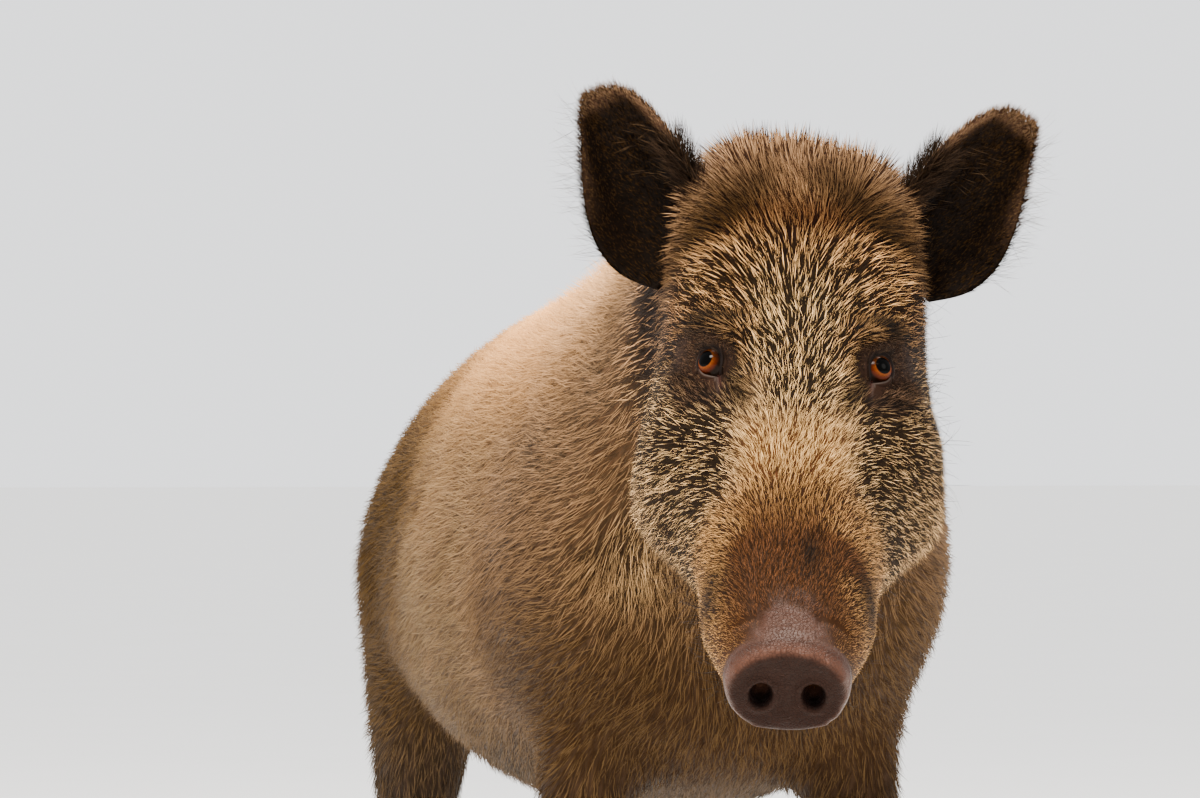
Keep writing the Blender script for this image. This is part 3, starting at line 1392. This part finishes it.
# %% Lay the locks out flat
PATCH = 0.003  # size of a lock's patch on its piece's unwrap


def unwrap_locks(mesh, patch, along, faces):
    """Lays each lock out as a small diamond at its root's place."""
    per_lock = len(along)
    sideways = np.zeros(per_lock)
    sideways[1:-1] = (-0.5, 0.5) if per_lock == 4 else np.tile([-0.5, 0.08, 0.5], per_lock // 3)
    local = np.stack([sideways, along - 0.5], 1) * PATCH
    places = (patch[:, None, :] + local[None]).reshape(-1, 2)
    layer = mesh.uv_layers.new(name="OFBake")
    layer.data.foreach_set("uv", places[faces.ravel()].astype(np.float32).ravel())


# %% Build a piece
GOLDEN = 0.618034  # the golden ratio's part after the point
DARK_HAIR = 0.008  # how far a dark hair's tip goes towards the pale colour
UNEVENNESS = 0.06  # of the steps


def locks(name, roots, normals, lies, sizes, colours, patch, seed, rings=0, spread=0.16, curl=0.35):
    """One piece of coat. patch is where each root lies on an unwrap of the skin."""
    draw = np.random.default_rng(seed)
    count = len(roots)
    length, width, rise = sizes
    length = MM * length * draw.uniform(0.7, 1.25, count)
    width = MM * width * draw.uniform(0.75, 1.25, count)
    rise = np.radians(rise) * draw.uniform(0.5, 1.5, count)
    turn = draw.normal(0, spread, count)[:, None]
    lies = unit(lies * np.cos(turn) + np.cross(normals, lies) * np.sin(turn))
    if rings:
        points, along = hair_points(roots, normals, lies, length, width, rise, rise * curl, rings)
    else:
        points, along = sliver_points(roots, normals, lies, length, width, 0.8 * rise)
    per_lock = points.shape[1]
    starts = (np.arange(count) * per_lock)[:, None, None]
    faces = (sliver_faces(rings)[None] + starts).reshape(-1, 3)
    mesh = mesh_of(name, points.reshape(-1, 3), faces, smooth_shaded=rings > 0)
    root_colour, tip_colour, shares = colours
    even = (np.arange(count) * GOLDEN + UNEVENNESS * draw.normal(0, 1, count)) % 1
    paleness = np.where(even > shares, DARK_HAIR, draw.uniform(0.6, 1, count))
    tip_colour = root_colour + paleness[:, None] * (tip_colour - root_colour)
    give(mesh, "along", np.tile(along, count))
    give(mesh, "root_colour", np.repeat(root_colour, per_lock, 0))
    give(mesh, "tip_colour", np.repeat(tip_colour, per_lock, 0))
    give(mesh, "chance", np.repeat(draw.uniform(0, 1, count), per_lock))
    unwrap_locks(mesh, patch, along, faces)
    made = placed(mesh)
    mesh.materials.append(hair)
    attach(made, "root")
    print(name, count, "locks", len(faces), "triangles")


# %% [markdown]
# ## Scatter the roots
#
# Roots are thrown over the skin's triangles in proportion to area and to how dense the coat
# should be there. The throws are evenly spaced along the sum of all areas, which spreads them
# better than free chance. The face gets the most and finest locks.

# %% Roots over the skin


def curve_order(points):
    """Order along a curve that fills space: neighbours in the list are neighbours on her."""
    cells = ((points - points.min(0)) / np.ptp(points, axis=0).max() * 1023).astype(np.int64)
    code = np.zeros(len(points), np.int64)
    for bit in range(10):
        for axis in range(3):
            code |= ((cells[:, axis] >> bit) & 1) << (3 * bit + axis)
    return np.argsort(code, kind="stable")


skin_normals = normals_of(skin_mesh)
skin_mesh.calc_loop_triangles()
triangles = read(skin_mesh.loop_triangles, "vertices", 3, np.int32)
triangles = triangles[(triangles < body_points).all(1)]
triangles = triangles[curve_order(skin_points[triangles].mean(1))]
corners = skin_points[triangles]
middles = corners.mean(1)
middle_normals = unit(skin_normals[triangles].mean(1))
first, second = corners[:, 1] - corners[:, 0], corners[:, 2] - corners[:, 0]
areas = np.linalg.norm(np.cross(first, second), axis=1) / 2

# %% Throw the roots


def scatter(count, weights, seed):
    """Roots and normals, thrown by area times weight."""
    draw = np.random.default_rng(seed)
    total = np.cumsum(areas * weights)
    throws = (np.arange(count) + draw.uniform(0, 1, count)) / count * total[-1]
    chosen = np.minimum(np.searchsorted(total, throws), len(total) - 1)
    a, b = draw.uniform(0, 1, (2, count))
    a, b = np.where(a + b > 1, 1 - a, a), np.where(a + b > 1, 1 - b, b)
    shares = np.stack([1 - a - b, a, b], 1)[..., None]
    normals = unit((skin_normals[triangles[chosen]] * shares).sum(1))
    return (corners[chosen] * shares).sum(1), normals


def round_axis(points, origin, axis, upright):
    """Unwraps the skin as a label comes off a bottle: how far round an axis, and along it."""
    offset = points - origin
    along = offset @ axis
    angle = np.arctan2(offset @ np.cross(axis, upright), offset @ upright) / (2 * math.pi) + 0.5
    share = (along - along.min()) / np.ptp(along)
    return 0.01 + 0.98 * np.stack([angle, share], 1)


def bands(weights, heights, names):
    """Cuts weights into bands of equal sum by height, one band for each name."""
    order = np.argsort(heights)
    total = np.cumsum((areas * weights)[order])
    band = np.empty(len(heights), int)
    band[order] = np.minimum(total / total[-1] * len(names), len(names) - 1).astype(int)
    return [(name, weights * (band == k)) for k, name in enumerate(names)]


# %% Where hair grows, and how densely
HAIR_LINE = 0.034  # m above the ground, over the hooves

slit = np.minimum(*[slit_map(s, middles)[0] + 99 * (from_ball(s, middles) > 30) for s in (1, -1)])
lid_clear = smooth(0.8, 3, slit)
mid_head, mid_leg = headness(middles), legness(middles)
_, mid_ahead, mid_up, mid_along, _ = in_head(middles)
furry = (1 - bareness(middles)) * lid_clear * (middles[:, 2] > HAIR_LINE)
facing = 0.35 + 0.65 * smooth(-0.5, 0.2, middle_normals @ AHEAD)
finer = np.interp(mid_along, [-100, 0, 100, 220], [0.8, 1.0, 1.15, 1.6]) + 3 * smooth(22, 8, slit)
on_crown = 1 + 1.4 * smooth(78, 105, mid_up) * smooth(-180, -150, mid_ahead)
head_weight = furry * smooth(0.35, 0.6, mid_head) * facing * finer * on_crown
body_weight = furry * (mid_head <= 0.6) * on_crown
foot_finer = 1 + 1.5 * smooth(0.12, 0.05, middles[:, 2])

# %% Cover the body
HEAD_MIDDLE = -70  # mm above the eyes
# a point on an axis of the unwrap, the axis, and the way its middle faces
HEAD_ROUND = (EYE_POINT + MM * (HEAD_MIDDLE * ABOVE), ALONG, ABOVE)
TRUNK_ROUND = (np.array([0, 0, 0.5]), BACKWARDS, -DOWN)
LEG_ROUND = (np.array([0, 0.2, 0.2]), -DOWN, np.array([1.0, 0, 0]))

COATS = [
    # pieces with their weights, locks in each piece, and the unwrap
    (bands(head_weight, mid_up, ("coat_muzzle", "coat_cheeks", "coat_brow", "coat_crown")),
     41000, HEAD_ROUND),
    (bands(body_weight * (1 - mid_leg), middles[:, 1], ("coat_neck", "coat_trunk", "coat_rump")),
     43000, TRUNK_ROUND),
    ([("coat_legs", body_weight * mid_leg * foot_finer)], 30000, LEG_ROUND),
]
DENSITY = 1.0  # share of the locks that are made

seed = 100
for pieces, count, unwrap in COATS:
    for name, weights in pieces:
        roots, root_normals = scatter(int(count * DENSITY), weights, seed)
        locks(name, roots, root_normals, lie_of(roots, root_normals),
              hair_sizes(roots, root_normals), coat_colours(roots)[1:],
              round_axis(roots, *unwrap), seed + 50, spread=0.2)
        seed += 1

# %% [markdown]
# ## Hair of the ears
#
# Short velvet covers the ears inside and out, paler on the thick rim towards the crown. Long
# hairs cross the cup, a dark fringe stands at the inner root, and single fine hairs stream
# off the outer edge.

# %% Cover the ears
EAR_LOCKS = 40000
STEP = 0.004  # of the ear's length or half width, to feel which way its surface faces


def ear_roots(side, count, draw, shares=(-0.18, 0.995), turns=(-1, 1), facings=(1, -1), cross=0.0):
    """Places, normals and lies of hairs on one ear. cross turns their lie over the cup."""
    share, turn = draw.uniform(*shares, count), draw.uniform(*turns, count)
    facing = draw.choice(facings, count).astype(float)
    here, lean, across, _ = ear_point(side, share, turn, facing)

    def beside(out, over):
        return ear_point(side, share + out, np.clip(turn + over, -1, 1), facing)[0]

    along, sideways = here - beside(-STEP, 0), beside(0, STEP) - beside(0, -STEP)
    normal = unit(np.cross(sideways, along) * side) * facing[:, None]
    outward = np.sign(turn)[:, None] * across
    edge = smooth(0.75, 1, np.abs(turn))[:, None]
    normal = unit(normal * (1 - 0.6 * edge) + outward * edge * 0.6)
    lie = lean + 0.35 * outward * np.abs(turn)[:, None] + cross * across
    lie = unit(lie - normal * (lie * normal).sum(1, keepdims=True))
    return here, normal, lie, share, turn, facing


def on_both_ears(count, draw, **where):
    each = int(count * DENSITY / 2)
    parts = [ear_roots(side, each, draw, **where) for side in (1, -1)]
    return [np.concatenate(part) for part in zip(*parts)]


def ear_patch(share, turn, facing):
    """The two ears, inside and out, as four strips of the unwrap."""
    half = np.repeat([0.0, 0.5], len(share) // 2)
    return np.stack([half + 0.02 + (turn + 1) * 0.11 + 0.24 * (facing > 0),
                     0.02 + 0.8 * (share + 0.2)], 1)


draw = np.random.default_rng(300)
roots, root_normals, lies, share, turn, facing = on_both_ears(EAR_LOCKS, draw)
edge = smooth(0.75, 0.97, np.abs(turn)) + smooth(0.9, 0.99, share)
length = 5 + 3 * (facing < 0) + 1.5 * edge
locks("coat_ears", roots, root_normals, lies, (length, 0.5, 18 + 8 * edge),
      ear_colours(share, turn, facing)[1:], ear_patch(share, turn, facing), 301)

# %% [markdown]
# ## Loose long hairs
#
# Long single hairs break the outline: at the ears, over the brows, and on lips, chin and jaw.
# They are few and very thin, and have more rings so that they can curve. The lashes are made
# the same way.

# %% Long hairs of the ears
EAR_HAIRS = [
    # name, count, where on the ear, then length, width and rise, then colours of root and tip
    ("coat_ear_fringe", 3200, dict(shares=(-0.15, 0.5), turns=(-1, -0.6)), (21, 0.42, 44),
     "0c0704", "2c2016"),
    ("coat_ear_cross", 110, dict(shares=(0.1, 0.7), turns=(-0.8, -0.1), facings=(1,), cross=1.6),
     (16, 0.24, 24), "1c130b", "4c3a28"),
    ("coat_ear_stream", 260, dict(shares=(0.1, 1.0), turns=(0.9, 1.0), cross=1.2), (24, 0.2, 30),
     "1c140e", "4a3a2a"),
]


def all_alike(count, sizes, root, tip, pale):
    """The sizes and colours of hairs that are all of one kind."""
    one = np.ones(count)
    colours = (np.outer(one, tone(root)), np.outer(one, tone(tip)), pale * one)
    return [size * one for size in sizes], colours


for k, (name, count, where, sizes, root, tip) in enumerate(EAR_HAIRS):
    draw = np.random.default_rng(310 + k)
    roots, root_normals, lies, *on_ear = on_both_ears(count, draw, **where)
    locks(name, roots, root_normals, lies, *all_alike(len(roots), sizes, root, tip, 0.6),
          ear_patch(*on_ear), 320 + k, rings=2, spread=0.35)

# %% Lashes and whiskers
BLACK_HAIR = ("0a0705", "2a1e15", 0.5)
mid_side, mid_above = np.abs(in_head(middles)[0]), in_head(middles)[4]
angles = [slit_map(s, middles)[3] for s in (1, -1)]
over_eye = np.where(middles @ LEFT > EYE_POINT @ LEFT, *angles)
lash_weight = bump((slit - 1.2, 0.5)) * smooth(0.1, 0.5, over_eye) * smooth(3.0, 2.7, over_eye)
whisker_weight = head_weight * (0.4 * bump((mid_side - 85, 22), (mid_up + 20, 60))
                                + bump((mid_above + 115, 22)) * (mid_along > 60)
                                + 0.5 * bump((mid_up - 28, 8), (mid_side - 55, 25)))
for name, count, weights, sizes in (("coat_lashes", 240, lash_weight, (7, 0.22, 50)),
                                    ("coat_whiskers", 700, whisker_weight, (34, 0.24, 46))):
    roots, root_normals = scatter(count, weights, 340 + count)
    locks(name, roots, root_normals, lie_of(roots, root_normals),
          *all_alike(count, sizes, *BLACK_HAIR), round_axis(roots, *HEAD_ROUND),
          341 + count, rings=3, spread=0.5, curl=0.1)

# %% [markdown]
# ## Floor, light and camera
#
# A pale floor, a pale sky and three large soft lamps show the coat without hard shadows. The
# camera looks at her from in front at the height of her face, with a long lens.

# %% The studio
FLOOR_HALF = 60.0  # m
LAMPS_AIM = (0, -0.2, 0.5)  # m, the middle of her chest
SKY_COLOUR, SKY_STRENGTH = (0.93, 0.94, 0.96, 1), 2.0


def lamp(name, place, size, power, colour):
    """A round soft lamp. Place and size in metres, power in watts."""
    light = bpy.data.lights.new(name, "AREA")
    light.shape, light.size, light.energy, light.color = "DISK", size, power, colour
    made = placed(light)
    made.location = place
    aim = Vector(LAMPS_AIM) - Vector(place)
    made.rotation_euler = aim.to_track_quat("-Z", "Y").to_euler()


corners_of_floor = FLOOR_HALF * np.array([(-1, -1, 0), (1, -1, 0), (1, 1, 0), (-1, 1, 0)])
made = placed(mesh_of("floor", corners_of_floor, np.array([[0, 1, 2, 3]])))
shade = Shade("floor")
made.data.materials.append(shade.finish(
    Base_Color=shade.mix(shade.noise(3, 4), "f4f2ee", "f8f6f3"), Roughness=0.95))

sky = bpy.data.worlds.new("studio")
sky.use_nodes = True
background = sky.node_tree.nodes["Background"]
background.inputs["Color"].default_value = SKY_COLOUR
background.inputs["Strength"].default_value = SKY_STRENGTH
bpy.context.scene.world = sky

lamp("key", (-2.4, -3.0, 5.0), 2.0, 1700, (1, 0.94, 0.85))
lamp("fill", (3.6, -3.4, 2.6), 3.0, 190, (1, 0.96, 0.90))
lamp("top", (0.6, 1.2, 4.4), 2.6, 1000, (1, 0.95, 0.87))

# %% The camera
EYE_TO_CAMERA = 6.5  # m
CAMERA_SIDE, CAMERA_DROP = 0.128, 0.023  # m to her right of the eyes and below them
LENS, SENSOR = 297.7, 36.0  # mm

lens = bpy.data.cameras.new("camera")
lens.lens, lens.sensor_width = LENS, SENSOR
lens.clip_start, lens.clip_end = 0.1, 300
camera = placed(lens)
camera.location = (EYE_POINT + EYE_TO_CAMERA * AHEAD - CAMERA_SIDE * LEVEL_LEFT
                   - np.array([0, 0, CAMERA_DROP]))
camera.rotation_euler = (math.pi / 2, 0, -HEAD_YAW)
bpy.context.scene.camera = camera
